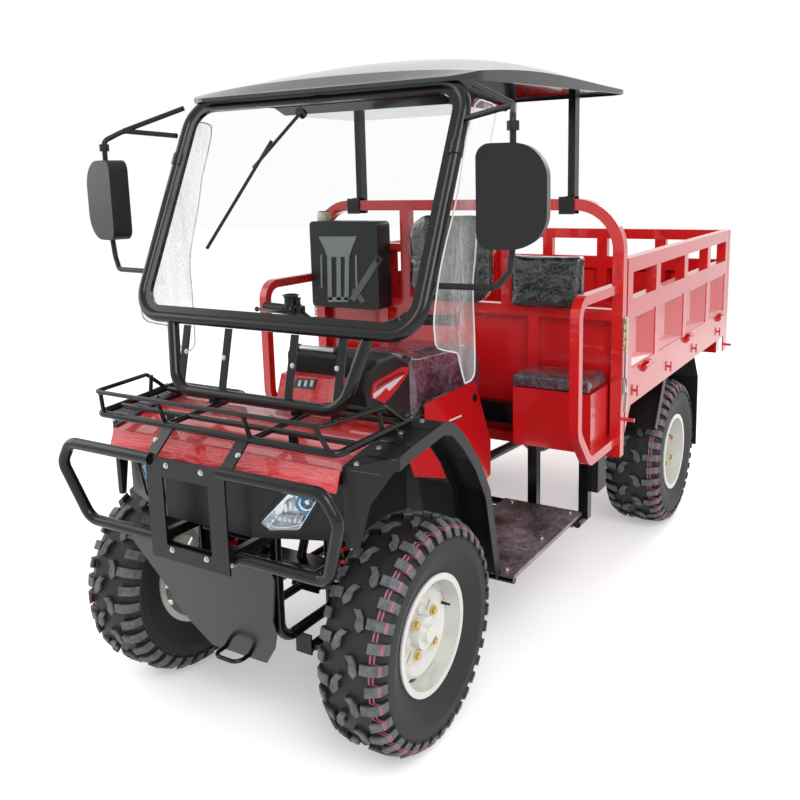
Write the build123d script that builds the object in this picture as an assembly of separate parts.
from build123d import *
import math
import os

os.makedirs("parts", exist_ok=True)

# Driving dimensions in millimetres. Lengths along the vehicle count back from the front axle,
# heights from the ground, widths from the middle plane.
wheelbase = 1877
front_overhang = 385
tyre_radius = 317.5
front_track_half = 432
rear_track_half = 546
bed_front = 1103
bed_rear = 2752
bed_half_width = 670
bed_side_thick = 40
hinge_out = 12
hinge_r = 8
overall_length = front_overhang + bed_rear + bed_side_thick + hinge_out + hinge_r
front_axle_y = front_overhang - overall_length / 2
rear_axle_y = front_axle_y + wheelbase
seat_gap = 0.3
overrun = 20
LEFT_RIGHT = (1, -1)


def at(x, y, z):
    """Point in the part's frame from a width, a length behind the front axle and a height."""
    return Vector(x, front_axle_y + y, z)


def block(x0, x1, y0, y1, z0, z1):
    """Square-cornered block between two widths, two lengths and two heights."""
    corner = Pos(*at(min(x0, x1), y0, z0))
    return corner * Box(abs(x1 - x0), y1 - y0, z1 - z0, align=(Align.MIN, Align.MIN, Align.MIN))


def side_shape(points, x0, x1):
    """Outline of (length, height) points, drawn from the side and made solid between two widths."""
    face = make_face(Polyline(*[at(min(x0, x1), y, z) for y, z in points], close=True))
    return extrude(face, amount=abs(x1 - x0), dir=(1, 0, 0))


def plan_shape(points, z0, z1):
    """Outline of (width, length) points, drawn from above and made solid between two heights."""
    face = make_face(Polyline(*[at(x, y, z0) for x, y in points], close=True))
    return extrude(face, amount=z1 - z0, dir=(0, 0, 1))


def rod(start, end, radius):
    """Round bar from one point to another."""
    axis = end - start
    return Plane(origin=start, z_dir=axis) * Cylinder(
        radius, axis.length, align=(Align.CENTER, Align.CENTER, Align.MIN)
    )


def tube(points, radius, bend, close=False):
    """Round tube along straight runs joined by arcs."""
    path = FilletPolyline(*points, radius=bend, close=close)
    section = Plane(origin=path @ 0, z_dir=path % 0) * Circle(radius)
    return sweep(section, path=path)


def square_tube(points, side, bend, across, close=False):
    """Square tube along straight runs joined by arcs, one face square to the direction across."""
    path = FilletPolyline(*points, radius=bend, close=close)
    section = Plane(origin=path @ 0, x_dir=across, z_dir=path % 0) * Rectangle(side, side)
    return sweep(section, path=path)


def strip(points, thick):
    """Closed outline of a sheet that follows a line of points, its thickness on the inner side."""
    inner = []
    for i, (y, z) in enumerate(points):
        before = points[max(i - 1, 0)]
        after = points[min(i + 1, len(points) - 1)]
        a = math.atan2(z - before[1], y - before[0]) if i else None
        b = math.atan2(after[1] - z, after[0] - y) if i < len(points) - 1 else a
        a = b if a is None else a
        half = (b - a) / 2
        reach = thick / math.cos(half)
        inner.append((y + reach * math.sin(a + half), z - reach * math.cos(a + half)))
    return list(points) + inner[::-1]


def both(shape):
    """A piece and its mirror image on the other side of the vehicle."""
    return [shape, mirror(shape, about=Plane.YZ)]


def save(name, *pieces):
    """Fuses what touches and writes the node."""
    solids = []
    for piece in pieces:
        solids.extend(piece if isinstance(piece, list) else [piece])
    whole = solids[0]
    for piece in solids[1:]:
        whole = whole + piece
    export_step(Part() + whole.solids(), f"parts/{name}.step")
    return whole


# Steering column, leaning back from the foot to the handlebar
column_lean = 22
column_r = 14
column_y = 150
column_z = 600
column_point = at(0, column_y, column_z)
column_dir = Vector(0, math.sin(math.radians(column_lean)), math.cos(math.radians(column_lean)))
column_foot = -294
column_top = 500


def column_at(distance):
    """Point on the steering axis."""
    return column_point + column_dir * distance


# Chassis frame: two side loops of round tube, cross members, rear rails of square section
frame_tube_r = 16
loop_x = 130
loop_front = -190
loop_rear = 980
loop_low = 290
loop_nose_top = 640
loop_top = 715
loop_bend = 60
upright_at = 40
upright_r = 14
shelf_z = 415
shelf_r = 12
rail_inner = 285
rail_outer = 325
rail_low = 620
rail_high = 699.7
rail_front = loop_rear + frame_tube_r + seat_gap
rail_rear = 2700
board_bar_z = 302
board_bar_r = 14
board_bar_half = 545
board_bars = (430, 930)
post_bar = 1008
post_half = 18
post_xs = (358, 558)
seat_box_low = 585
headstock_r = 26
headstock_low = -60
headstock_high = 100
headstock_bar = 185
column_plate_z = 400
column_plate_thick = 12
column_plate_front = 30
column_plate_rear = 100

# Hood stays, from the frame loops up to the hood's underside
hood_stay_y = -60
hood_stay_r = 10

# Front suspension: lower and upper arms, with a coil shock that stands on the lower arm
kingpin_x = 330
arm_tube_r = 11
arm_boss_r = 18
lower_arm_x = 170
lower_arm_half = 120
lower_arm_z = 245
lower_boss = (225, 262)
upper_arm_x = 175
upper_arm_half = 85
upper_arm_z = 415
upper_boss = (398, 430)
bracket_thick = 6
arm_pivot_r = 14
shock_x = 262
shock_top_x = 195
shock_top_z = 600
shock_mount_top = 655
shock_mount_half = 20
shock_r = 30
shock_body_r = 19
shock_rod_r = 12
coil_wire = 11
coil_shares = (0.12, 0.22, 0.32, 0.42, 0.52, 0.62, 0.72, 0.82)
coil_top_share = 0.95
shock_foot_z = 262
shock_plate_half_x = 20
shock_plate_half_y = 50
shock_plate_thick = 14

# Rear axle with leaf springs
axle_r = 35
axle_half = 470
diff_r = 95
spring_x = 305
spring_half_w = 20
spring_eye_y = 450
spring_eye_z = 500
spring_eye_r = 18
spring_mid_z = 392
spring_thick = 24
spring_pad_half = 45
spring_pad_low = 340
shaft_r = 20
shaft_front_z = 380
engine_front = 460
engine_rear = 800
engine_half = 140
engine_top = 600
engine_low = loop_low + frame_tube_r + seat_gap


def chassis_frame():
    loop = tube(
        [
            at(loop_x, loop_front, loop_low),
            at(loop_x, loop_front, loop_nose_top),
            at(loop_x, headstock_bar + loop_bend, loop_top),
            at(loop_x, loop_rear, loop_top),
            at(loop_x, loop_rear, loop_low),
        ],
        frame_tube_r,
        loop_bend,
        close=True,
    )
    upright_top = loop_nose_top + (loop_top - loop_nose_top) / 2
    upright = rod(at(loop_x, upright_at, loop_low), at(loop_x, upright_at, upright_top), upright_r)
    shelf = rod(at(loop_x, loop_front, shelf_z), at(loop_x, upper_arm_half + bracket_thick, shelf_z), shelf_r)
    brackets = []
    for side in (1, -1):
        y = side * (lower_arm_half + seat_gap + bracket_thick / 2)
        brackets.append(
            block(loop_x, lower_arm_x + arm_pivot_r, y - bracket_thick / 2, y + bracket_thick / 2,
                  lower_arm_z - arm_pivot_r, loop_low)
        )
        y = side * (upper_arm_half + seat_gap + bracket_thick / 2)
        brackets.append(
            block(loop_x, upper_arm_x + arm_pivot_r, y - bracket_thick / 2, y + bracket_thick / 2,
                  upper_arm_z - arm_pivot_r, upper_arm_z + arm_pivot_r)
        )
    shock_mount = block(loop_x, shock_top_x + shock_r, -shock_mount_half, shock_mount_half,
                        shock_top_z, shock_mount_top)
    posts = [
        block(x - post_half, x + post_half, post_bar - post_half, post_bar + post_half,
              board_bar_z, seat_box_low - seat_gap)
        for x in post_xs
    ]
    stay_foot = at(loop_x, hood_stay_y, loop_nose_top)
    stay = rod(stay_foot, at(loop_x, hood_stay_y, hood_height(hood_stay_y) - hood_wall), hood_stay_r)
    stay = stay - side_shape(strip(hood_points, hood_wall + seat_gap), 0, hood_half)
    half = [loop, upright, shelf, shock_mount, stay] + brackets + posts
    whole = half[0]
    for piece in half[1:]:
        whole = whole + piece
    whole = whole + mirror(whole, about=Plane.YZ)
    for y in board_bars + (post_bar,):
        whole = whole + rod(at(-board_bar_half, y, board_bar_z),
                            at(board_bar_half, y, board_bar_z), board_bar_r)
    for x in post_xs:
        for side in LEFT_RIGHT:
            whole = whole + rod(at(side * x, board_bars[1], board_bar_z),
                                at(side * x, post_bar, board_bar_z), board_bar_r)
    for y, z in ((loop_front, loop_nose_top - loop_bend), (loop_front, loop_low + loop_bend),
                 (loop_rear - 2 * loop_bend, loop_low), (headstock_bar, loop_top - frame_tube_r)):
        whole = whole + rod(at(-loop_x, y, z), at(loop_x, y, z), upright_r)
    plate = block(-loop_x, loop_x, column_plate_front, column_plate_rear,
                  column_plate_z - column_plate_thick / 2, column_plate_z + column_plate_thick / 2)
    stock = rod(column_at(headstock_low), column_at(headstock_high), headstock_r)
    whole = whole + plate + stock
    bore = rod(column_at(column_foot - overrun), column_at(column_top), column_r + seat_gap)
    return whole - bore


def rear_frame():
    rail = block(rail_inner, rail_outer, rail_front, rail_rear, rail_low, rail_high)
    hangers = [
        block(spring_x - spring_half_w, spring_x + spring_half_w,
              wheelbase + end * spring_eye_y - spring_eye_r, wheelbase + end * spring_eye_y + spring_eye_r,
              spring_eye_z + spring_eye_r + seat_gap, rail_low)
        for end in (1, -1)
    ]
    side = rail + hangers[0] + hangers[1]
    cross = block(-rail_outer, rail_outer, rail_front, rail_front + 2 * post_half, rail_low, rail_high)
    tail = block(-rail_outer, rail_outer, rail_rear - 2 * post_half, rail_rear, rail_low, rail_high)
    return side + mirror(side, about=Plane.YZ) + cross + tail


def front_suspension():
    def arm(pivot_x, pivot_half, z, boss, inset):
        low, high = boss
        pivot = rod(at(pivot_x, -pivot_half, z), at(pivot_x, pivot_half, z), arm_pivot_r)
        legs = [rod(at(pivot_x, side * inset, z), at(kingpin_x, 0, (low + high) / 2), arm_tube_r)
                for side in (1, -1)]
        post = rod(at(kingpin_x, 0, low), at(kingpin_x, 0, high), arm_boss_r)
        bore = rod(at(kingpin_x, 0, low - overrun), at(kingpin_x, 0, high + overrun), kingpin_r + seat_gap)
        return pivot + legs[0] + legs[1] + post - bore

    lower = arm(lower_arm_x, lower_arm_half, lower_arm_z, lower_boss, lower_arm_half - arm_pivot_r)
    upper = arm(upper_arm_x, upper_arm_half, upper_arm_z, upper_boss, upper_arm_half - arm_pivot_r)
    seat = block(shock_x - shock_plate_half_x, shock_x + shock_plate_half_x, -shock_plate_half_y,
                 shock_plate_half_y, shock_foot_z - shock_plate_thick, shock_foot_z)
    foot = at(shock_x, 0, shock_foot_z)
    head = at(shock_top_x, 0, shock_top_z - seat_gap)
    lean = head - foot
    turn = lean.normalized() * coil_wire
    shock = rod(foot, foot + lean * coil_top_share, shock_body_r)
    for share in coil_shares:
        shock = shock + rod(foot + lean * share, foot + lean * share + turn, shock_r)
    eye = rod(head - Vector(shock_rod_r, 0, shock_rod_r),
              head + Vector(shock_rod_r, 0, -shock_rod_r), shock_rod_r)
    return both(lower + seat + shock + eye) + both(upper)


# Knuckles, with the kingpin barrel between the arms and the stub axle for the wheel
kingpin_r = 8
barrel_r = 22
stub_r = 18
knuckle_arm = 100
knuckle_arm_z = 330
knuckle_arm_thick = 14
knuckle_arm_half = 12
tie_rod_r = 8
tie_end_r = 12
tie_inner_x = 22


def knuckle():
    barrel = rod(at(kingpin_x, 0, lower_boss[1] + seat_gap),
                 at(kingpin_x, 0, upper_boss[0] - seat_gap), barrel_r)
    pin = rod(at(kingpin_x, 0, lower_boss[0]), at(kingpin_x, 0, upper_boss[1]), kingpin_r)
    stub = rod(at(kingpin_x, 0, tyre_radius),
               at(front_track_half + hub_end - seat_gap * 2, 0, tyre_radius), stub_r)
    flange = rod(at(kingpin_x, 0, tyre_radius), at(kingpin_x + barrel_r * 2, 0, tyre_radius), stub_r * 2)
    arm = block(kingpin_x - knuckle_arm_half, kingpin_x + knuckle_arm_half, 0, knuckle_arm + knuckle_arm_half,
                knuckle_arm_z - knuckle_arm_thick, knuckle_arm_z)
    return barrel + pin + stub + flange + arm


def tie_rod():
    z = knuckle_arm_z + seat_gap + tie_end_r
    outer = at(kingpin_x, knuckle_arm, z)
    inner = at(tie_inner_x, knuckle_arm, z)
    ends = [rod(p - Vector(0, 0, tie_end_r), p + Vector(0, 0, tie_end_r), tie_end_r) for p in (outer, inner)]
    return rod(inner, outer, tie_rod_r) + ends[0] + ends[1]


# Handlebar with its grips on the column, and the instrument pod on the cowl in front of it
bar_r = 11
grip_r = 16
grip_inner = 245
grip_end = 372
bar_points = ((370, 400, 1108), (200, 362, 1108), (110, 338, 1070))
bar_bend = 40
pitman = 80
pitman_half = 14
pitman_thick = 10
pod_half = 92
pod_front = 165
pod_rear = 228
pod_low = 946
pod_high = 1022
pod_round = 14
chrome_bar_y = 188
chrome_bar_z = 1028
chrome_bar_r = 9
reservoir_x = 232
reservoir_r = 22
reservoir_high = 1152


def handlebar():
    column = rod(column_at(column_foot), column_at(column_top), column_r)
    outer = [at(x, y, z) for x, y, z in bar_points]
    inner = [at(-x, y, z) for x, y, z in reversed(bar_points)]
    bar = tube(outer + inner, bar_r, bar_bend)
    (x_end, y_end, z_end), (x_in, y_in, z_in), _ = bar_points
    share = (grip_inner - x_in) / (x_end - x_in)
    grip = rod(
        at(grip_inner, y_in + (y_end - y_in) * share, z_in + (z_end - z_in) * share),
        at(grip_end, y_end, z_end),
        grip_r,
    )
    reservoir = rod(at(-reservoir_x, y_in, z_in), at(-reservoir_x, y_in, reservoir_high), reservoir_r)
    foot = column_at(column_foot)
    arm_plane = Plane(origin=foot, x_dir=(1, 0, 0), z_dir=column_dir)
    arm = arm_plane * Box(2 * pitman_half, pitman + pitman_half, pitman_thick,
                          align=(Align.CENTER, Align.MIN, Align.MIN))
    return [column + bar + grip + mirror(grip, about=Plane.YZ) + reservoir + arm]


def instrument():
    pod = block(-pod_half, pod_half, pod_front + seat_gap, pod_rear, pod_low + seat_gap, pod_high)
    pod = fillet(pod.edges().filter_by(Axis.X).sort_by(Axis.Z)[-2:], pod_round)
    chrome = rod(at(-pod_half, chrome_bar_y, chrome_bar_z),
                 at(pod_half, chrome_bar_y, chrome_bar_z), chrome_bar_r)
    return [pod + chrome]


# Wheels: rims turned about their axis, tyres out to the tips of the lugs
rim_r = 152.4
rim_wall = 4
lip_r = 166
lip_wall = 5
hub_r = 45
hub_end = 48
hub_start = 12
front_rim_half = 74
rear_rim_half = 107
disc_in = 20
disc_wall = 5
disc_bulge = 16
disc_bulge_r = 116
disc_flat_r = 88
cap_out = 14
wheel_cap_r = 24
nut_count = 4
nut_circle = 64
nut_r = 10
nut_high = 14
slot_count = 8
slot_circle = 130
slot_long = 40
slot_wide = 13
spoke_slot_circle = 74
spoke_slot_long = 30
spoke_slot_wide = 9
front_tyre_half = 101.5
rear_tyre_half = 120
bead_top = 172
belly_r = 235
belly_high = 26
crown_r = 303

# Tread lugs: chevrons along the middle, and bars that wrap over the shoulders
lug_count = 18
lug_sink = 8
side_sink = 4
chevron_shares = ((0.02, -0.9), (0.16, -0.3), (0.16, 0.5), (0.3, 1.0), (0.4, 0.55), (0.34, -0.35),
                  (0.2, -1.0))
chevron_half = 27
bar_from_shares = (0.46, 0.62)
bar_half = 13
bar_drop = (1, 6, 22, 46)
bar_x_shares = (0.7, 0.92, 1.0)
bar_under_x_shares = (0.9, 0.68)
bar_under_drop = (56, 34, 26)
carcass_x_shares = (0.88, 0.6, 0.25)
carcass_drop = (22, 5, 0)


def turned(points, centre_x, wheel_y):
    """Outline of (distance along the axle, radius) points, turned about the wheel's axis."""
    outline = [Vector(centre_x + x, wheel_y, tyre_radius + r) for x, r in points]
    face = make_face(Polyline(*outline, close=True))
    axis = Axis(Vector(0, wheel_y, tyre_radius), (1, 0, 0))
    return revolve(face, axis=axis, revolution_arc=360)


def around(shape, wheel_y, count, start=0):
    """Copies of a shape at even steps about a wheel's axis."""
    axis = Axis(Vector(0, wheel_y, tyre_radius), (1, 0, 0))
    step = 360 / count
    return [shape.rotate(axis, start + step * i) for i in range(count)]


def rim(centre_x, wheel_y, half, disc_at):
    inner = rim_r - rim_wall
    face = disc_at + disc_wall
    hub_face = hub_end + rim_wall
    outline = [
        (-half, lip_r), (-half, inner), (disc_at, inner), (disc_at + disc_bulge, disc_bulge_r),
        (disc_at, disc_flat_r), (disc_at, hub_r), (hub_start, hub_r), (hub_start, stub_r + seat_gap),
        (hub_end, stub_r + seat_gap), (hub_end, 0), (hub_face + cap_out, 0),
        (hub_face + cap_out, wheel_cap_r),
        (hub_face, wheel_cap_r), (hub_face, hub_r), (face, hub_r), (face, disc_flat_r),
        (face + disc_bulge, disc_bulge_r), (face, inner), (half, inner), (half, lip_r),
        (half - lip_wall, lip_r),
        (half - lip_wall, rim_r), (-half + lip_wall, rim_r), (-half + lip_wall, lip_r),
    ]
    wheel = turned(outline, centre_x, wheel_y)
    plane = Plane(origin=(centre_x + disc_at, wheel_y, tyre_radius), x_dir=(0, 1, 0), z_dir=(1, 0, 0))
    slot = plane * Pos(slot_circle, 0, 0) * Box(slot_wide, slot_long, overrun * 3)
    spoke = plane * Pos(spoke_slot_circle, 0, 0) * Box(spoke_slot_long, spoke_slot_wide, overrun)
    nut = plane * Pos(nut_circle, 0, 0) * Cylinder(nut_r, nut_high,
                                                   align=(Align.CENTER, Align.CENTER, Align.MIN))
    turn = 360 / nut_count / 2
    wheel = wheel - around(slot, wheel_y, slot_count, turn / 2) - around(spoke, wheel_y, nut_count, turn)
    return wheel + around(nut, wheel_y, nut_count)


def tyre(centre_x, wheel_y, half, rim_half):
    bead = rim_half - lip_wall - seat_gap
    side = half - side_sink
    right = [(bead, rim_r + seat_gap), (bead, bead_top), (side, belly_r), (side, belly_r + belly_high)]
    right += [(half * share, crown_r - drop) for share, drop in zip(carcass_x_shares, carcass_drop)]
    left = [(-x, r) for x, r in reversed(right)]
    carcass = turned(right + left, centre_x, wheel_y)
    hub = Vector(centre_x, wheel_y, tyre_radius)
    lugs = []
    for hand, start in ((1, 0), (-1, 180 / lug_count)):
        points = [hub + Vector(hand * half * w, chevron_half * a, -tyre_radius) for w, a in chevron_shares]
        face = make_face(Polyline(*points, close=True))
        chevron = extrude(face, amount=tyre_radius - crown_r + lug_sink, dir=(0, 0, 1))
        lugs += around(chevron, wheel_y, lug_count, start)
        for i, share in enumerate(bar_from_shares):
            top = zip((share,) + bar_x_shares, bar_drop)
            under = zip(bar_under_x_shares + (share,), bar_under_drop)
            points = [hub + Vector(hand * half * w, -bar_half, drop - tyre_radius)
                      for w, drop in list(top) + list(under)]
            bar = extrude(make_face(Polyline(*points, close=True)), amount=2 * bar_half, dir=(0, 1, 0))
            lugs += around(bar, wheel_y, lug_count, start + 180 * i / lug_count)
    return carcass + lugs


# Bumper: two tube loops, upright plates and the skid sheet with its tow loop
bumper_r = 16
bumper_bend = 44
bumper_y = bumper_r - front_overhang
bumper_points = ((120, 0, 828), (440, 0, 828), (480, 0, 765), (420, 30, 597), (120, 30, 597))
plate_half = 137
plate_inner = 80
plate_low = 560
plate_high = 838
plate_thick = 6
plate_bar_low = 787
skid_top_z = 600
skid_top_y = -345
skid_foot_z = 232
skid_foot_y = -212
skid_half_shares = ((1.05, 0.0), (1.05, 0.11), (0.8, 0.5), (0.78, 0.63), (0.64, 0.815), (0.42, 1.0))
skid_half = 238
tow_r = 6
tow_half = 44
tow_reach = 60
tow_bend = 26
rack_strap_x = (112, 150)
bumper_arm_low = 590
bumper_arm_high = 618
bumper_arm_x = (118, 137)


def front_bumper():
    loop = tube([at(x, bumper_y + y, z) for x, y, z in bumper_points], bumper_r, bumper_bend)
    plate_back = bumper_y + plate_thick / 2
    upright = block(plate_inner, plate_half, plate_back - plate_thick, plate_back, plate_low, plate_high)
    arm = block(*bumper_arm_x, plate_back - plate_thick, loop_front - frame_tube_r - seat_gap,
                bumper_arm_low, bumper_arm_high)
    strap_line = [(bumper_y, plate_high - plate_thick * 2), (rack_front - rack_r, rack_front_z)]
    strap = side_shape(strip(strap_line, plate_thick), *rack_strap_x)
    strap = strap - rod(at(0, rack_front, rack_front_z), at(rack_front_half, rack_front, rack_front_z),
                        rack_r + seat_gap)
    half = loop + upright + arm + strap
    cross = block(-plate_half, plate_half, plate_back - plate_thick, plate_back, plate_bar_low, plate_high)
    low_cross = block(-plate_half, plate_half, plate_back - plate_thick, plate_back, plate_low, skid_top_z)
    slope_y = skid_foot_y - skid_top_y
    slope_z = skid_foot_z - skid_top_z
    right = [(skid_half * w, s) for w, s in skid_half_shares]
    outline = right + [(-w, s) for w, s in reversed(right)]
    face = make_face(
        Polyline(*[at(w, skid_top_y + slope_y * s, skid_top_z + slope_z * s) for w, s in outline], close=True)
    )
    sheet = extrude(face, amount=plate_thick, dir=(0, -1, 0))
    lip = block(-plate_half, plate_half, plate_back - plate_thick / 2, skid_top_y - plate_thick / 3,
                skid_top_z - plate_thick * 3, skid_top_z - plate_thick)
    tow = tube(
        [at(x, skid_foot_y + y, skid_foot_z + 2 * tow_r) for x, y in
         ((-tow_half, 2 * tow_r), (-tow_half, -tow_reach), (tow_half, -tow_reach), (tow_half, 2 * tow_r))],
        tow_r, tow_bend,
    )
    return [half + mirror(half, about=Plane.YZ) + cross + low_cross + lip + sheet + tow]


# Front rack: a lower loop of tube, a thinner loop above it, bars between and feet on the hood
rack_r = 10
rack_thin_r = 6
rack_bend = 40
rack_front_half = 418
rack_rear_half = 440
rack_front = -282
rack_rear = 32
rack_front_z = 893
rack_rear_z = 908
rack_notch_half = 150
rack_notch = 60
rack_top_front = -308
rack_top_front_half = 392
rack_top_rear = -91
rack_top_rear_half = 430
rack_top_z = 965
rack_bar_x = 150
rack_bar_r = 8
rack_foot_half = 14
rack_foot_thick = 6
rack_feet = ((220, -200), (220, -20))


def rack_height(y):
    """Height of the lower loop, which rises a little to the rear."""
    share = (y - rack_front) / (rack_rear - rack_front)
    return rack_front_z + (rack_rear_z - rack_front_z) * share


def front_rack():
    def low(x, y):
        return at(x, y, rack_height(y))

    ring = tube(
        [low(rack_front_half, rack_front), low(rack_rear_half, rack_rear), low(rack_notch_half, rack_rear),
         low(rack_notch_half, rack_rear - rack_notch), low(-rack_notch_half, rack_rear - rack_notch),
         low(-rack_notch_half, rack_rear), low(-rack_rear_half, rack_rear),
         low(-rack_front_half, rack_front)],
        rack_r, rack_notch / 2 - rack_r / 2, close=True,
    )
    rail = tube(
        [low(rack_rear_half, rack_top_rear + rack_bend * 2),
         at(rack_top_rear_half, rack_top_rear, rack_top_z),
         at(rack_top_front_half, rack_top_front, rack_top_z),
         at(-rack_top_front_half, rack_top_front, rack_top_z),
         at(-rack_top_rear_half, rack_top_rear, rack_top_z),
         low(-rack_rear_half, rack_top_rear + rack_bend * 2)],
        rack_thin_r, rack_bend / 2,
    )
    whole = ring + rail
    for side in LEFT_RIGHT:
        for x, y, x_top, y_top in (
            (rack_front_half, rack_front, rack_top_front_half, rack_top_front),
            (rack_rear_half, rack_top_rear, rack_top_rear_half, rack_top_rear),
            (rack_bar_x, rack_front, rack_bar_x, rack_top_front),
        ):
            inset = rack_bend / 2 if x != rack_bar_x else 0
            whole = whole + rod(low(side * (x - inset), y),
                                at(side * (x_top - inset), y_top, rack_top_z), rack_thin_r)
        whole = whole + rod(low(side * rack_bar_x, rack_front),
                            low(side * rack_bar_x, rack_rear - rack_notch), rack_bar_r)
        for x, y in rack_feet:
            foot_top = rack_height(y)
            whole = whole + block(side * (x - rack_foot_half), side * (x + rack_foot_half),
                                  y - rack_foot_thick / 2,
                                  y + rack_foot_thick / 2, hood_height(y + rack_foot_thick / 2) + seat_gap,
                                  foot_top)
    for _, y in rack_feet:
        half = rack_front_half
        whole = whole + rod(low(-half, y), low(half, y), rack_bar_r)
    return [whole]


# Hood: a red sheet that folds down at the front, with the raised cowl behind it
hood_half = 399.7
hood_wall = 5
hood_points = ((-272, 790), (-252, 842), (-120, 866), (20, 880), (60, 880))
cowl_half = 95
cowl_points = ((30, 872), (108, 888), (134, 955), (pod_front, 958), (pod_front, pod_low), (232, pod_low),
               (232, 872))
nose_low = 640
nose_plan = ((395, -150), (395, -205), (150, -300), (-150, -300), (-395, -205), (-395, -150))
nose_wall = 6
nose_corner_wall = 6.6
nose_slant = 1.2


def hood_height(y):
    """Height of the hood's outer face at a length behind the front axle."""
    for (y0, z0), (y1, z1) in zip(hood_points, hood_points[1:]):
        if y0 <= y <= y1:
            return z0 + (z1 - z0) * (y - y0) / (y1 - y0)
    return hood_points[-1][1]


def hood():
    sheet = side_shape(strip(hood_points, hood_wall), -hood_half, hood_half)
    sheet = sheet & block(-hood_half, hood_half, -front_overhang, bed_front,
                          hood_points[0][1], cowl_points[3][1])
    cowl = side_shape(cowl_points, -cowl_half, cowl_half)
    return [sheet + cowl]


# Headlamps, set in the two slanted faces of the nose
lamp_half_w = 103
lamp_half_h = 55
lamp_shares = ((-1.0, -0.55), (-0.21, 1.0), (0.49, 0.77), (-0.03, -0.8), (-0.83, -0.88))
lamp_depth = 55
lamp_z = 712
lamp_share = 0.5
lamp_round = 8
lamp_proud = 4
bezel_width = 9
bezel_proud = 10


def lamp_plane(side):
    (x0, y0), (x1, y1) = nose_plan[1], nose_plan[2]
    along = Vector(x0 - x1, y0 - y1, 0).normalized()
    out = Vector(along.Y, -along.X, 0)
    middle = at(x1 + (x0 - x1) * lamp_share, y1 + (y0 - y1) * lamp_share, lamp_z)
    return Plane(origin=middle + out * lamp_proud, x_dir=along, z_dir=out)


def headlamp(extra, proud=0):
    points = [(lamp_half_w * u, lamp_half_h * v) for u, v in lamp_shares]
    outline = make_face(FilletPolyline(*points, radius=lamp_round, close=True))
    if extra:
        outline = offset(outline, amount=extra)
    return lamp_plane(1) * (Pos(0, 0, proud) * extrude(outline, amount=-lamp_depth - proud))


def nose_panel():
    outer = plan_shape(nose_plan, nose_low, hood_points[0][1] - seat_gap)
    inner_plan = []
    for x, y in nose_plan:
        depth = nose_wall if y == nose_plan[1][1] else nose_corner_wall
        step = overrun if y == nose_plan[0][1] else depth * nose_slant
        inner_plan.append((x - math.copysign(depth, x), y + step))
    inner = plan_shape(inner_plan, nose_low - overrun, hood_points[0][1] - seat_gap - nose_wall)
    lamp = headlamp(seat_gap, overrun)
    bezel = headlamp(bezel_width, bezel_proud - lamp_proud)
    bezel = bezel & block(0, nose_plan[0][0], -front_overhang, nose_plan[0][1], nose_low,
                          hood_points[0][1] - seat_gap)
    shell = (outer - inner) + (bezel - inner) + (mirror(bezel, about=Plane.YZ) - inner)
    return [shell - lamp - mirror(lamp, about=Plane.YZ)]


# Front fenders: an arched sheet over each wheel, with a lip and a flap down to the footboard
fender_inner = 400
fender_outer = 515
fender_wall = 5
fender_lip = 34
fender_points = ((-240, 849), (-107, 876), (60, 897), (120, 880), (185, 822), (262, 735), (330, 620),
                 (398, 330))
fender_nose_points = ((-240, 849), (-240, 640), (-226, 640), (-208, 748), (-165, 838), (-107, 870))
fender_flap_inner = 268
fender_corners = ((414, -240), (432, -228), (fender_outer, -160))


def fender_plan(inset, inner):
    """Plan outline of a fender, cut back at its front outer corner."""
    front = [(x - inset, y + inset) for x, y in fender_corners]
    rear = (fender_outer - inset, bed_front)
    return [(inner, -front_overhang), (front[0][0], -front_overhang)] + front + [rear, (inner, bed_front)]


def front_fender():
    skin = side_shape(strip(fender_points, fender_lip), fender_inner, fender_outer)
    skin = skin + side_shape(fender_nose_points, fender_inner, fender_outer)
    skin = skin & plan_shape(fender_plan(0, fender_inner), 0, deck_z * 2)
    lower = [(y, z) for y, z in strip(fender_points, fender_wall)[len(fender_points):]][::-1]
    hollow = side_shape(lower + [(lower[-1][0], 0), (lower[0][0], 0)], fender_inner, fender_outer)
    hollow = hollow & plan_shape(fender_plan(fender_wall, fender_inner + fender_wall), 0, deck_z * 2)
    flap = side_shape(strip(fender_points[-2:], fender_wall), fender_flap_inner, fender_inner + fender_wall)
    return both((skin - hollow) + flap)


# Red side panels below the saddle, leaning out towards the footboards
panel_wall = 5
panel_top_x = 156.3
panel_low_x = 262
panel_top_z = 792
panel_low_z = 465
panel_points = ((378, 690), (378, 600), (560, 540), (790, 466), (832, 472), (905, 580), (915, 790), (560, 790),
                (500, 700))
blade_points = ((250, 880), (262, 922), (425, 940), (462, 934), (462, 912), (384, 872), (318, 846))
blade_thick = 7
saddle_half = 156


def side_panel():
    slab_points = [(panel_top_x, panel_top_z), (panel_top_x + panel_wall, panel_top_z),
                   (panel_low_x + panel_wall, panel_low_z), (panel_low_x, panel_low_z)]
    start, end = panel_points[0][0] - overrun, panel_points[6][0] + overrun
    face = make_face(Polyline(*[at(x, start, z) for x, z in slab_points], close=True))
    slab = extrude(face, amount=end - start, dir=(0, 1, 0))
    outline = side_shape(panel_points, panel_top_x - overrun, panel_low_x + overrun)
    blade_x = tank_half + seat_gap
    blade = side_shape(blade_points, blade_x, blade_x + blade_thick)
    return both(slab & outline) + both(blade)


# Tank cover and saddle
tank_half = 150
tank_low = loop_top + frame_tube_r + seat_gap
tank_points = ((236, tank_low), (236, 900), (252, 962), (300, 984), (400, 988), (478, 950), (478, tank_low))
tank_round = 22
round_above = 930
saddle_points = ((478.3, tank_low), (478.3, 945), (520, 957), (650, 946), (800, 940), (930, 925), (985, 870),
                 (970, tank_low))
column_clear = 22
soft_round = 24


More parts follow.
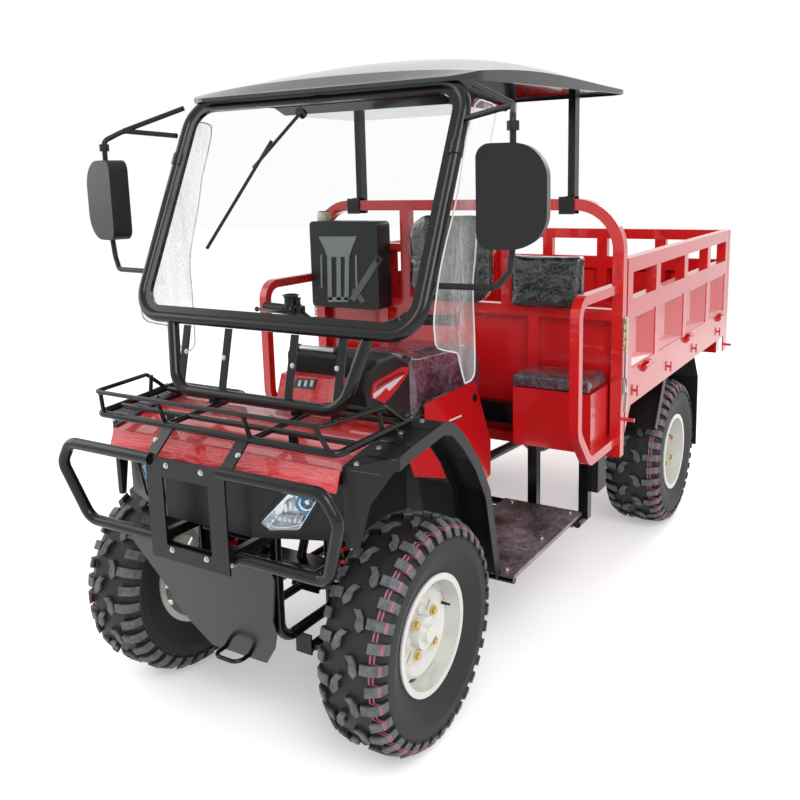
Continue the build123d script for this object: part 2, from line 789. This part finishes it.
def tank_cover():
    body = side_shape(tank_points, -tank_half, tank_half)
    body = fillet(body.edges().filter_by(GeomType.LINE).filter_by(lambda e: abs(e.tangent_at(0).X) < seat_gap)
                  .filter_by(lambda e: e.center().Z > round_above), tank_round)
    return [body - rod(column_at(column_foot), column_at(column_top), column_clear)]


def saddle():
    body = side_shape(saddle_points, -saddle_half, saddle_half)
    upper = [edge for edge in body.edges()
             if abs(edge.tangent_at(0).X) < seat_gap and edge.center().Z > tank_points[1][1]]
    return [fillet(upper, soft_round)]


# Windscreen: a closed tube loop in a raked plane, a rubber strip inside it, and the glass
screen_low_y = -45
screen_low_z = 1137
screen_high_y = 255
screen_high_z = 1784
screen_low = at(0, screen_low_y, screen_low_z)
screen_high = at(0, screen_high_y, screen_high_z)
screen_half = 504
screen_tube_r = 16
collar_share = 0.72
collar_r = 20
collar_half = 18
screen_bend = 95
rubber_width = 22
rubber_thick = 14
glass_thick = 5
hoop_r = 17
hoop_top_half = 350
hoop_low_half = 298
hoop_low_y = -98
hoop_low_z = 936
hoop_bend = 75
strap_width = 25
strap_thick = 5
strap_xs = (282, 120)


def screen_plane():
    rise = screen_high - screen_low
    return Plane(origin=screen_low, x_dir=(1, 0, 0), z_dir=Vector(1, 0, 0).cross(rise))


def screen_sheet(inset, thick, round_less):
    rise = (screen_high - screen_low).length
    outline = RectangleRounded(2 * (screen_half - inset), rise - 2 * inset, screen_bend - round_less)
    return screen_plane() * (Pos(0, rise / 2, -thick / 2) * extrude(outline, amount=thick))


def windshield_frame():
    plane = screen_plane()
    rise = (screen_high - screen_low).length
    corners = [plane.from_local_coords(Vector(x, y, 0)) for x, y in
               ((screen_half, 0), (screen_half, rise), (-screen_half, rise), (-screen_half, 0))]
    loop = tube(corners, screen_tube_r, screen_bend, close=True)
    for side in LEFT_RIGHT:
        ends = [plane.from_local_coords(Vector(side * screen_half, rise * collar_share + half, 0))
                for half in (-collar_half, collar_half)]
        loop = loop + (rod(*ends, collar_r) & block(side * (screen_half + screen_tube_r), 0, -front_overhang,
                                                    bed_front, 0, screen_high_z))
    inset = screen_tube_r - rubber_thick / 4
    within = inset + rubber_width
    rubber = screen_sheet(inset, rubber_thick, inset) - screen_sheet(within, rubber_thick * 2, within)
    return [loop + rubber]


def windshield_glass():
    inset = screen_tube_r - rubber_thick / 4 + rubber_width + seat_gap
    return [screen_sheet(inset, glass_thick, inset)]


def windshield_hoop():
    top_z = screen_low.Z - screen_tube_r - seat_gap
    top_y = screen_low.Y - front_axle_y
    hoop = tube(
        [at(hoop_top_half, top_y, top_z), at(hoop_low_half, hoop_low_y, hoop_low_z),
         at(-hoop_low_half, hoop_low_y, hoop_low_z), at(-hoop_top_half, top_y, top_z)],
        hoop_r, hoop_bend,
    )
    whole = hoop
    for side in LEFT_RIGHT:
        for x in strap_xs:
            top = at(side * x, top_y - screen_tube_r / 2, top_z)
            foot = at(side * x, hoop_low_y, hoop_low_z)
            face = make_face(Polyline(
                top + Vector(0, -strap_thick / 2, 0), top + Vector(0, strap_thick / 2, 0),
                foot + Vector(0, strap_thick / 2, 0), foot + Vector(0, -strap_thick / 2, 0), close=True))
            whole = whole + extrude(face, amount=strap_width / 2, dir=(1, 0, 0)) + extrude(
                face, amount=strap_width / 2, dir=(-1, 0, 0))
    low = rack_height(hoop_low_y + hoop_r / 2) + rack_bar_r + seat_gap
    for side in LEFT_RIGHT:
        x = side * rack_bar_x
        whole = whole + block(x - strap_width / 2, x + strap_width / 2,
                              hoop_low_y - hoop_r / 2, hoop_low_y + hoop_r / 2,
                              low, hoop_low_z)
    cut = rod(at(-hoop_top_half * 2, top_y, screen_low.Z), at(hoop_top_half * 2, top_y, screen_low.Z),
              screen_tube_r + seat_gap)
    return [whole - cut]


# Clear side sheets that hang behind the windscreen's edges
flap_thick = 3
flap_x = screen_half + screen_tube_r + seat_gap
flap_points = ((232, 1735), (360, 1725), (205, 1250), (205, 985), (150, 975), (110, 1075), (10, 1105),
               (-20, 1180))


def side_flap():
    return both(side_shape(flap_points, flap_x, flap_x + flap_thick))


# Wiper: a motor under the roof's front edge, an arm and a blade that lies along the glass
wiper_lift = 16
wiper_pivot = (-35, 0.9)
wiper_elbow = (-165, 0.66)
wiper_tip = (-268, 0.30)
wiper_r = 5
wiper_boss_r = 14
wiper_boss_high = 22
blade_top = (-120, 0.78)


def wiper():
    plane = screen_plane()
    rise = (screen_high - screen_low).length
    pivot, elbow, tip = [plane.from_local_coords(Vector(x, rise * s, wiper_lift))
                         for x, s in (wiper_pivot, wiper_elbow, wiper_tip)]
    boss_low = plane.from_local_coords(Vector(wiper_pivot[0], rise * wiper_pivot[1],
                                              glass_thick / 2 + seat_gap))
    boss = rod(boss_low, boss_low + plane.z_dir * wiper_boss_high, wiper_boss_r)
    blade_start = plane.from_local_coords(Vector(blade_top[0], rise * blade_top[1], wiper_lift))
    return [rod(pivot, elbow, wiper_r) + boss + rod(blade_start, tip, wiper_r)]


# Mirrors on bent arms at both sides of the windscreen
mirror_x = 715
mirror_y = 60
mirror_z = 1482
mirror_width = 170
mirror_height = 250
mirror_thick = 62
mirror_outer_round = 84
mirror_inner_round = 34
mirror_turn = 15
mirror_arm_r = 8
mirror_arm_bend = 24
mirror_low_points = ((0, 30, 1262), (150, 45, 1262), (182, 60, 1300))
mirror_high_points = ((0, 190, 1680), (166, 120, 1700), (191, 60, 1668))
mirror_strut_top = (0, 228, 1768)
mirror_collar_r = 15
mirror_collar_high = 22
mirror_collar_z = 1636


def mirror_piece():
    turn = math.radians(mirror_turn)
    plane = Plane(origin=at(mirror_x, mirror_y, mirror_z), x_dir=(math.cos(turn), math.sin(turn), 0),
                  z_dir=(math.sin(turn), -math.cos(turn), 0))
    outline = Rectangle(mirror_width, mirror_height)
    outline = fillet(outline.vertices().sort_by(Axis.X)[:2], mirror_inner_round)
    outline = fillet(outline.vertices().sort_by(Axis.X)[-2:], mirror_outer_round)
    head = plane * (Pos(0, 0, -mirror_thick / 2) * extrude(outline, amount=mirror_thick))
    root_x = screen_half + screen_tube_r + flap_thick + seat_gap * 2
    inside = mirror_height / 2 - overrun
    low = tube([at(root_x + x, y, z) for x, y, z in mirror_low_points]
               + [at(mirror_x, mirror_y, mirror_z - inside)],
               mirror_arm_r, mirror_arm_bend)
    elbow = at(root_x + mirror_high_points[1][0], *mirror_high_points[1][1:])
    strut = rod(at(root_x + mirror_strut_top[0], *mirror_strut_top[1:]), elbow, mirror_arm_r)
    high = tube([at(root_x + x, y, z) for x, y, z in mirror_high_points]
                + [at(mirror_x, mirror_y, mirror_z + inside)],
                mirror_arm_r, mirror_arm_bend)
    collar = rod(at(mirror_x, mirror_y, mirror_collar_z),
                 at(mirror_x, mirror_y, mirror_collar_z + mirror_collar_high),
                 mirror_collar_r)
    outside = block(root_x, roof_rear_half * 2, -front_overhang, bed_front, 0, roof_front_z * 2)
    return both((head + low + high + strut + collar) & outside)


# Roof: a crowned shell with a thin edge and a steep front, over a closed box that hangs below its middle
roof_front = 225
roof_rear = 1330
roof_front_half = 515
roof_rear_half = 595
roof_front_z = 1793
roof_rear_z = 1825
roof_crown = 104
roof_wall = 5
roof_edge = 12
roof_corner = 80
roof_across_shares = ((-1.0, 0.06), (-0.62, 0.74), (0.0, 1.0), (0.62, 0.74), (1.0, 0.06))
roof_nose_share = (0.05, 0.34)
roof_along_shares = ((0.18, 0.66), (0.42, 1.0), (0.7, 0.8))
liner_half = 335
liner_front = 450
liner_rear = 900
liner_low = 1745
liner_chamfer = 24
bracket_x = 300
bracket_half = 15
post_x = 458
post_high = 1857
post_depth = 40
post_width = 26


def roof_body(inset, low):
    """Crowned block down to a height: side outlines lofted across the vehicle, cut to the plan's outline."""
    length = roof_rear - roof_front
    sections = []
    for across, crown_share in roof_across_shares:
        x = across * roof_rear_half

        def place(along, rise):
            z = roof_front_z + (roof_rear_z - roof_front_z) * along + roof_crown * crown_share * rise
            return at(x, roof_front + length * along, z - inset)

        front, nose, rear = place(0, 0), place(*roof_nose_share), place(1, 0)
        top = Spline(nose, *[place(*share) for share in roof_along_shares], rear)
        floor_rear, floor_front = at(x, roof_rear, low), at(x, roof_front, low)
        sections.append(make_face([Line(front, nose), top, Line(rear, floor_rear),
                                   Line(floor_rear, floor_front), Line(floor_front, front)]))
    corners = ((roof_front_half - inset, roof_front + inset), (roof_rear_half - inset, roof_rear - inset),
               (inset - roof_rear_half, roof_rear - inset), (inset - roof_front_half, roof_front + inset))
    line = FilletPolyline(*[at(x, y, low - overrun) for x, y in corners], radius=roof_corner - inset,
                          close=True)
    plan = extrude(make_face(line), amount=roof_crown * 6, dir=(0, 0, 1))
    return loft(sections) & plan


def roof_canopy():
    """Shell cut off along its edge line, with the box and the brackets on the windscreen's top tube."""
    low = liner_low - overrun
    outer = roof_body(0, low)
    shell = outer - roof_body(roof_wall, low - overrun)
    edge_line = [(roof_front - overrun, roof_front_z - roof_edge),
                 (roof_rear + overrun, roof_rear_z - roof_edge),
                 (roof_rear + overrun, low - overrun), (roof_front - overrun, low - overrun)]
    shell = shell - side_shape(edge_line, -roof_rear_half * 2, roof_rear_half * 2)
    liner = block(-liner_half, liner_half, liner_front, liner_rear, liner_low, roof_front_z + roof_crown)
    liner = chamfer(liner.faces().sort_by(Axis.Z)[0].edges(), liner_chamfer)
    whole = shell + (liner & outer)
    for side in LEFT_RIGHT:
        bracket = block(side * bracket_x - bracket_half, side * bracket_x + bracket_half,
                        screen_high_y - bracket_half / 2, screen_high_y + bracket_half / 2,
                        screen_high_z + screen_tube_r + seat_gap, roof_front_z + roof_crown)
        whole = whole + (bracket & outer)
    return [whole]


# Roof posts, clamped to the headboard's arch
arch_in = 22
arch_half = bed_half_width - arch_in
arch_top = 1428
arch_y = 1080
arch_side = 40
arch_bend = 160
clamp_low = 1395
clamp_high = 1456
clamp_plate = 6
clamp_bolt_r = 5
clamp_half = 28


def roof_post():
    y0 = arch_y + arch_side / 2 + seat_gap
    post = block(post_x - post_width / 2, post_x + post_width / 2, y0, y0 + post_depth, clamp_low, post_high)
    back = block(post_x - clamp_half, post_x + clamp_half, y0, y0 + clamp_plate, clamp_low, clamp_high)
    y1 = arch_y - arch_side / 2 - seat_gap
    front = block(post_x - clamp_half, post_x + clamp_half, y1 - clamp_plate, y1, clamp_low, clamp_high)
    bolts = [rod(at(post_x, y1, z), at(post_x, y0, z), clamp_bolt_r)
             for z in (arch_top - arch_side / 2 - clamp_bolt_r - seat_gap,
                       arch_top + arch_side / 2 + clamp_bolt_r + seat_gap)]
    above = block(post_x - clamp_half, post_x + clamp_half, y0 - overrun, y0 + post_depth + overrun,
                  clamp_high, roof_rear_z + roof_crown)
    above = above - roof_body(roof_wall + seat_gap, clamp_high - overrun)
    return both(post + back + front + bolts[0] + bolts[1] - above)


# Headboard: an arch of square tube, cross rails, uprights and the pressed lower panel
board_low = 529
mid_rail_top = 1063
inner_post_x = 220
board_panel_wall = 5
right_rail_low = 1250
right_rail_high = 1278
slot = (-278, -258, 1165, 1243)
panel_post_x = 329


def headboard():
    half = arch_side / 2
    arch = square_tube(
        [at(arch_half, arch_y, board_low), at(arch_half, arch_y, arch_top), at(-arch_half, arch_y, arch_top),
         at(-arch_half, arch_y, board_low)],
        arch_side, arch_bend, (0, 1, 0),
    )
    y0, y1 = arch_y - half, arch_y + half
    whole = arch
    for low, high in ((mid_rail_top - arch_side, mid_rail_top), (board_low, board_low + arch_side)):
        whole = whole + block(-arch_half, arch_half, y0, y1, low, high)
    for x in (inner_post_x, -inner_post_x):
        whole = whole + block(x - half, x + half, y0, y1, mid_rail_top - half, arch_top)
    for x in (panel_post_x, -panel_post_x):
        whole = whole + block(x - half, x + half, y0, y1, board_low, mid_rail_top)
    panel_y = arch_y + half - board_panel_wall
    whole = whole + block(-arch_half, arch_half, panel_y, y1, board_low, mid_rail_top)
    whole = whole + block(-arch_half, -inner_post_x, y0, y1, right_rail_low, right_rail_high)
    plate = block(-arch_half, -inner_post_x, panel_y, y1, mid_rail_top, right_rail_low)
    sx0, sx1, sz0, sz1 = slot
    plate = plate - block(sx0, sx1, panel_y - overrun, y1 + overrun, sz0, sz1)
    whole = whole + plate
    for side in LEFT_RIGHT:
        whole = whole - block(side * (rail_inner - seat_gap), side * (rail_outer + seat_gap), y0 - overrun,
                              y1 + overrun, rail_low - seat_gap, rail_high + seat_gap)
    return [whole]


# Backrest pads and the moulded canister
pad_front = 1012
passenger_pad = (248, 541, 1052, 1258, 18)
driver_pad = (-186, 186, 1052, 1402, 95)
canister_box = (-618, -288, 968, 1020, 1368)
pad_edge = 12
canister_round = 18
cap_r = 22
cap_high = 40
cap_x = -575


def backrests():
    back = arch_y - arch_side / 2 - seat_gap
    pads = []
    for x0, x1, z0, z1, corner in (passenger_pad, driver_pad):
        pad = fillet(block(x0, x1, pad_front, back, z0, z1).edges().filter_by(Axis.Y), corner)
        pads.append(fillet(pad.faces().sort_by(Axis.Y)[0].edges(), pad_edge))
    return pads


def canister():
    x0, x1, y0, z0, z1 = canister_box
    back = arch_y - arch_side / 2 - seat_gap
    body = block(x0, x1, y0, back, z0, z1)
    body = fillet(body.edges().filter_by(Axis.Y), canister_round)
    cap = rod(at(cap_x, (y0 + back) / 2, z1 - cap_high), at(cap_x, (y0 + back) / 2, z1 + cap_high), cap_r)
    return [body + cap]


# Side guards: square tube from the headboard round the seat boxes
guard_shift = 11.7
guard_x = arch_half - guard_shift
guard_side = 32
guard_points = ((0, 1138), (697, 1138), (697, 705), (800, 588), (0, 588))
guard_bend = 60


def side_guard():
    y_end = arch_y - arch_side / 2 - seat_gap
    points = [at(guard_x, y if y else y_end, z) for y, z in guard_points]
    return both(square_tube(points, guard_side, guard_bend, (1, 0, 0)))


# Seat boxes with their cushions
box_inner = 330
box_outer = guard_x - guard_side / 2 - seat_gap
box_front = 884
seat_box_high = 795
cushion_high = 845
cushion_over = 8


def seat_box():
    return both(block(box_inner, box_outer, box_front, arch_y - arch_side / 2 - seat_gap,
                      seat_box_low, seat_box_high))


def seat_cushion():
    pad = block(box_inner - cushion_over, box_outer, box_front - cushion_over,
                arch_y - arch_side / 2 - seat_gap, seat_box_high + seat_gap, cushion_high)
    return both(fillet(pad.faces().sort_by(Axis.Z)[-1].edges(), soft_round / 2))


# Footboards
tread_inner = 250
tread_outer = 556
tread_front = 405
tread_rear = 985
tread_top = 330
tread_wall = 4


def footboard():
    low = board_bar_z + board_bar_r + seat_gap
    tray = block(tread_inner, tread_outer, tread_front, tread_rear, low, tread_top)
    hollow = block(tread_inner + tread_wall, tread_outer - tread_wall, tread_front + tread_wall,
                   tread_rear - tread_wall, low - overrun, tread_top - tread_wall)
    pads = [block(tread_inner + tread_wall, tread_outer - tread_wall, y - board_bar_r, y + board_bar_r,
                  low, tread_top - tread_wall) for y in board_bars]
    return both((tray - hollow) + pads[0] + pads[1])


# Battery box, bolted behind the outer seat post
battery_out = (28, 42)
battery_length = 84
battery_high = 133


def battery_box():
    y0 = post_bar + post_half + seat_gap
    z1 = board_low - seat_gap
    return [block(post_xs[1] - battery_out[0], post_xs[1] + battery_out[1], y0, y0 + battery_length,
                  z1 - battery_high, z1)]


# Cargo bed: deck, sills, bearers, rope hooks and the hinges of the drop sides
sill_low = 700
sill_high = 812
sill_thick = 40
deck_z = 800
deck_wall = 4
bearers_share = (0.0, 0.25, 0.5, 0.75, 1.0)
bearer_half = 25
hook_share = (0.066, 0.344, 0.602, 0.893)
hook_z = 745
hook_r = 5
hook_out = 14
hook_bar_half = 20
hook_bar_thick = 6
corner_thick = 6
corner_points = ((0, 0), (0, 88), (20, 60), (62, 0))
pin_out = 28
pin_body_r = 7
front_pin = (22, 45)
rear_pin = (14, 56)
rear_plate = (80, 82)
side_low = sill_high + seat_gap
side_high = 1240
top_rail = 53
mid_rail = (1025, 1090)
low_rail = 24
side_wall = 4
post_shares = (0.0, 0.222, 0.49, 0.755, 1.0)
tail_post_shares = (0.0, 0.25, 0.5, 0.75, 1.0)
post_wide = 58
side_clear = 5
hinge_z = 815
hinge_len = 45
hinge_shares = (0.12, 0.5, 0.88)
pin_r = 4

# Pressed pillows of the boards' lower sheets
sheet_in = 3
pillow_deep = 31
pillow_margin = 7
pillow_slope_shares = (0.16, 0.46)
pillow_end = 30


def hinge_pair(origin, along, out, fixed):
    """One half of a hinge: the barrel and its leaf, on the sill or on the board."""
    up = Vector(0, 0, 1)
    start = origin if fixed else origin + along * (hinge_len + seat_gap)
    end = start + along * hinge_len
    barrel = rod(start, end, hinge_r)
    plane = Plane(origin=start, x_dir=out * -1, z_dir=along)
    drop = -1 if fixed else 1
    leaf_up = plane.to_local_coords(start + up * drop) - plane.to_local_coords(start)
    leaf = plane * Pos(hinge_out / 2, leaf_up.Y * hinge_r, hinge_len / 2) * Box(
        hinge_out, 2 * hinge_r, hinge_len)
    if fixed:
        pin = rod(end, end + along * hinge_len, pin_r)
        return barrel + leaf + pin
    return barrel + leaf - rod(start, end, pin_r + seat_gap / 2)


def side_hinges(fixed):
    length = bed_rear - bed_front
    return [hinge_pair(at(bed_half_width + hinge_out, bed_front + length * s, hinge_z), Vector(0, 1, 0),
                       Vector(1, 0, 0), fixed) for s in hinge_shares]


def tail_hinges(fixed):
    tail = bed_rear + bed_side_thick + hinge_out
    width = 2 * bed_half_width
    return [hinge_pair(at(-bed_half_width + width * s - hinge_len, tail, hinge_z), Vector(1, 0, 0),
                       Vector(0, 1, 0), fixed) for s in hinge_shares]


def bed_sills():
    """Side and rear sills with the rope hooks, corner plates, pins and the fixed halves of the hinges."""
    inner = bed_half_width - sill_thick
    rear = bed_rear + bed_side_thick
    whole = block(inner, bed_half_width, bed_front, rear, sill_low, sill_high)
    for share in hook_share:
        y = bed_front + (bed_rear - bed_front) * share
        tip = bed_half_width + hook_out
        whole = whole + rod(at(bed_half_width - hook_r, y, hook_z), at(tip, y, hook_z), hook_r)
        whole = whole + block(tip - hook_bar_thick, tip, y - hook_bar_thick, y + hook_bar_thick,
                              hook_z - hook_bar_half, hook_z + hook_bar_half)
    face_x = bed_half_width - corner_thick
    gusset = [(bed_front + y, sill_low - z) for y, z in corner_points]
    long, deep = rear_plate
    plates = side_shape(gusset, face_x, bed_half_width) + block(face_x, bed_half_width, rear - long, rear,
                                                               sill_low - deep, sill_low)
    for y, z in ((bed_front + front_pin[0], sill_low - front_pin[1]),
                 (rear - rear_pin[0], sill_low - rear_pin[1])):
        plates = plates + rod(at(face_x, y, z), at(bed_half_width + pin_out, y, z), pin_body_r)
    for piece in [plates] + side_hinges(True):
        whole = whole + piece
    whole = whole + mirror(whole, about=Plane.YZ)
    whole = whole + block(-inner, inner, bed_rear, rear, sill_low, sill_high)
    for piece in tail_hinges(True):
        whole = whole + piece
    return [whole]


def bed_floor():
    """Deck on its bearers, between the sills."""
    inner = bed_half_width - sill_thick - seat_gap
    end = bed_rear - seat_gap
    whole = block(-inner, inner, bed_front, end, deck_z, deck_z + deck_wall)
    whole = whole + block(-inner, inner, bed_front, bed_front + sill_thick, sill_low, deck_z)
    first, last = bed_front + bearer_half, end - bearer_half
    for s in bearers_share:
        y = first + (last - first) * s
        whole = whole + block(-inner, inner, y - bearer_half, y + bearer_half, sill_low, deck_z)
    return [whole]


def pillow(x0, x1, z0, z1, depth, grow):
    """Flat-bottomed pressing with sloped sides, as deep as given, drawn from the outer face inwards."""
    length = x1 - x0
    front, rear = [length * share for share in pillow_slope_shares]
    margin = pillow_margin - grow
    mouth = (x0 + margin, x1 - margin, z0 + margin, z1 - margin)
    floor = (x0 + front - grow, x1 - rear + grow, z0 + pillow_end - grow, z1 - pillow_end + grow)
    faces = []
    for (a, b, low, high), y in ((mouth, sheet_in), (floor, sheet_in + depth)):
        faces.append(make_face(Polyline((a, y, low), (b, y, low), (b, y, high), (a, y, high), close=True)))
    return loft(faces)


def board(length, shares, outer_first):
    """Framed board lying along X from 0: rails, posts with windows between, and a pressed lower sheet."""
    def bar(x0, x1, z0, z1, y0=0, y1=bed_side_thick):
        return Pos(x0, y0, z0) * Box(x1 - x0, y1 - y0, z1 - z0, align=(Align.MIN, Align.MIN, Align.MIN))

    whole = bar(0, length, side_high - top_rail, side_high)
    whole = whole + bar(0, length, *mid_rail) + bar(0, length, side_low, side_low + low_rail)
    posts = [(length - post_wide) * share for share in shares]
    for x in posts:
        whole = whole + bar(x, x + post_wide, side_low, side_high)
    sheet = bar(0, length, side_low, mid_rail[0], sheet_in, sheet_in + side_wall)
    for x0, x1 in zip(posts, posts[1:]):
        bay = (x0 + post_wide, x1, side_low + low_rail, mid_rail[0])
        sheet = sheet + pillow(*bay, pillow_deep + side_wall, side_wall / 2) - pillow(*bay, pillow_deep, 0)
    if not outer_first:
        sheet = Pos(0, bed_side_thick, 0) * mirror(sheet, about=Plane.XZ)
    return whole + sheet


def bed_side():
    """Drop side whose posts and top rail are solids of their own, a hair's breadth apart."""
    length = bed_rear - bed_front - side_clear * 2
    panel = board(length, post_shares, True).rotate(Axis.Z, 90)
    panel = Pos(*at(bed_half_width, bed_front + side_clear, 0)) * panel
    for piece in side_hinges(False):
        panel = panel + piece
    for level in (mid_rail[1], side_high - top_rail - seat_gap):
        panel = panel - block(0, bed_half_width + overrun, bed_front, bed_rear, level, level + seat_gap)
    return panel


def tailgate():
    panel = board(2 * bed_half_width, tail_post_shares, False)
    panel = Pos(*at(-bed_half_width, bed_rear + seat_gap, 0)) * panel
    panel = panel & block(-bed_half_width * 2, bed_half_width * 2, bed_front, bed_rear + bed_side_thick,
                          0, side_high * 2)
    for piece in tail_hinges(False):
        panel = panel + piece
    return [panel]


# Toggle latches on the headboard's outer faces: two plates, the rod between them and the lever
latch_low = 763
latch_high = 1038
latch_half = 14
latch_plate = 6
latch_plate_high = 56
latch_rod_r = 6
latch_out = 16
lever_low = 700
lever_thick = 9


def latch():
    x0 = arch_half + arch_side / 2 + seat_gap
    plates = [block(x0, x0 + latch_plate, arch_y - latch_half, arch_y + latch_half, z, z + latch_plate_high)
              for z in (latch_low, latch_high - latch_plate_high)]
    middle = x0 + latch_plate + latch_rod_r / 2
    link = rod(at(middle, arch_y, latch_low + latch_rod_r),
               at(middle, arch_y, latch_high - latch_rod_r), latch_rod_r)
    lever = side_shape([(arch_y - lever_thick, latch_low + latch_plate_high),
                        (arch_y + latch_half, latch_low),
                        (arch_y - lever_thick, lever_low), (arch_y - lever_thick * 2, lever_low),
                        (arch_y, latch_low)], x0 + latch_plate, x0 + latch_out)
    return both(plates[0] + plates[1] + link + lever)


# Rear mudguards: angle-iron stays and a sheet ahead of the wheel, another sheet and the flap behind it
guard_in = rear_track_half - rear_tyre_half
guard_out = bed_half_width - hinge_out
guard_wall = 4
guard_top = sill_low - seat_gap
guard_front_points = ((-205, 0), (-326, 199))
guard_rear_points = ((282, 0), (372, 120), (378, 455))
stay_wide = 38
stay_wall = 6


def rear_mudguard():
    pieces = []
    for points in (guard_front_points, guard_rear_points):
        line = [(wheelbase + y, guard_top - z) for y, z in points]
        pieces.append(side_shape(strip(line, guard_wall), guard_in, guard_out))
    line = [(wheelbase + y, guard_top - z) for y, z in guard_front_points]
    stay = side_shape(strip(line, stay_wide), guard_out, guard_out + stay_wall)
    under = block(-bed_half_width, bed_half_width, bed_front, bed_rear, 0, guard_top)
    return [piece & under for piece in both(pieces[0] + stay) + both(pieces[1])]


# Tail lamps below the rear sill
lamp_box = (520, 640, 2700, 2770, 610, 690)


def tail_lamp():
    x0, x1, y0, y1, z0, z1 = lamp_box
    bracket = block(x0 + overrun, x1 - overrun, y0, y1 - overrun, z1, sill_low - seat_gap)
    return both(block(x0, x1, y0, y1, z0, z1) + bracket)


save("chassis_frame", chassis_frame())
save("rear_frame", rear_frame())
save("engine_block", block(-engine_half, engine_half, engine_front, engine_rear, engine_low, engine_top))
save("front_suspension", front_suspension())
left_knuckle = knuckle()
save("knuckle_left", left_knuckle)
save("knuckle_right", mirror(left_knuckle, about=Plane.YZ))
left_rod = tie_rod()
save("tie_rod_left", left_rod)
save("tie_rod_right", mirror(left_rod, about=Plane.YZ))
save("handlebar", handlebar())
save("instrument", instrument())

axle_z = tyre_radius
axle = rod(at(-axle_half, wheelbase, axle_z), at(axle_half, wheelbase, axle_z), axle_r)
stubs = rod(at(-rear_track_half - hub_end + seat_gap, wheelbase, axle_z),
            at(rear_track_half + hub_end - seat_gap, wheelbase, axle_z), stub_r)
housing = Pos(*at(0, wheelbase, axle_z)) * Sphere(diff_r)
shaft = rod(at(0, engine_rear, shaft_front_z), at(0, wheelbase, axle_z), shaft_r)
propeller = shaft - block(-engine_half, engine_half, engine_front, engine_rear + seat_gap,
                          engine_low, engine_top)
spring_top = ThreePointArc(
    at(0, wheelbase - spring_eye_y, spring_eye_z), at(0, wheelbase, spring_mid_z),
    at(0, wheelbase + spring_eye_y, spring_eye_z))
spring_low = ThreePointArc(
    at(0, wheelbase - spring_eye_y, spring_eye_z - spring_thick),
    at(0, wheelbase, spring_mid_z - spring_thick),
    at(0, wheelbase + spring_eye_y, spring_eye_z - spring_thick))
spring_face = make_face([spring_top, spring_low, Line(spring_top @ 0, spring_low @ 0),
                         Line(spring_top @ 1, spring_low @ 1)])
spring = Pos(spring_x - spring_half_w, 0, 0) * extrude(spring_face, amount=2 * spring_half_w, dir=(1, 0, 0))
for end in (1, -1):
    eye_y = wheelbase + end * spring_eye_y
    spring = spring + rod(at(spring_x - spring_half_w, eye_y, spring_eye_z),
                          at(spring_x + spring_half_w, eye_y, spring_eye_z), spring_eye_r)
spring = spring + block(spring_x - spring_half_w, spring_x + spring_half_w, wheelbase - spring_pad_half,
                        wheelbase + spring_pad_half, spring_pad_low, spring_mid_z - spring_thick / 2)
save("rear_axle", axle + stubs + housing + propeller + spring + mirror(spring, about=Plane.YZ))

save("front_bumper", front_bumper())
save("front_rack", front_rack())
save("hood", hood())
save("nose_panel", nose_panel())
save("headlamps", both(headlamp(0)))
save("front_fenders", front_fender())
save("side_panels", side_panel())
save("tank_cover", tank_cover())
save("saddle", saddle())
save("windshield_frame", windshield_frame())
save("windshield_glass", windshield_glass())
save("windshield_hoop", windshield_hoop())
save("side_flaps", side_flap())
save("wiper", wiper())
save("mirrors", mirror_piece())
save("roof_canopy", roof_canopy())
save("roof_posts", roof_post())
save("headboard", headboard())
save("backrests", backrests())
save("canister", canister())
save("side_guards", side_guard())
save("seat_boxes", seat_box())
save("seat_cushions", seat_cushion())
save("footboards", footboard())
save("battery_box", battery_box())
save("bed_floor", bed_floor())
save("bed_sills", bed_sills())
left_board = bed_side()
save("bed_side_left", left_board)
save("bed_side_right", mirror(left_board, about=Plane.YZ))
save("tailgate", tailgate())
save("bed_latches", latch())
save("rear_mudguards", rear_mudguard())
save("tail_lamps", tail_lamp())

wheels = (
    ("front_left", front_track_half, front_axle_y, front_tyre_half, front_rim_half),
    ("rear_left", rear_track_half, rear_axle_y, rear_tyre_half, rear_rim_half),
)
for name, x, y, tyre_half, rim_half in wheels:
    left_rim = rim(x, y, rim_half, disc_in)
    left_tyre = tyre(x, y, tyre_half, rim_half)
    for side, pieces in (("left", (left_rim, left_tyre)),
                         ("right", (mirror(left_rim, about=Plane.YZ), mirror(left_tyre, about=Plane.YZ)))):
        save("rim_" + name.replace("left", side), pieces[0])
        save("tyre_" + name.replace("left", side), pieces[1])
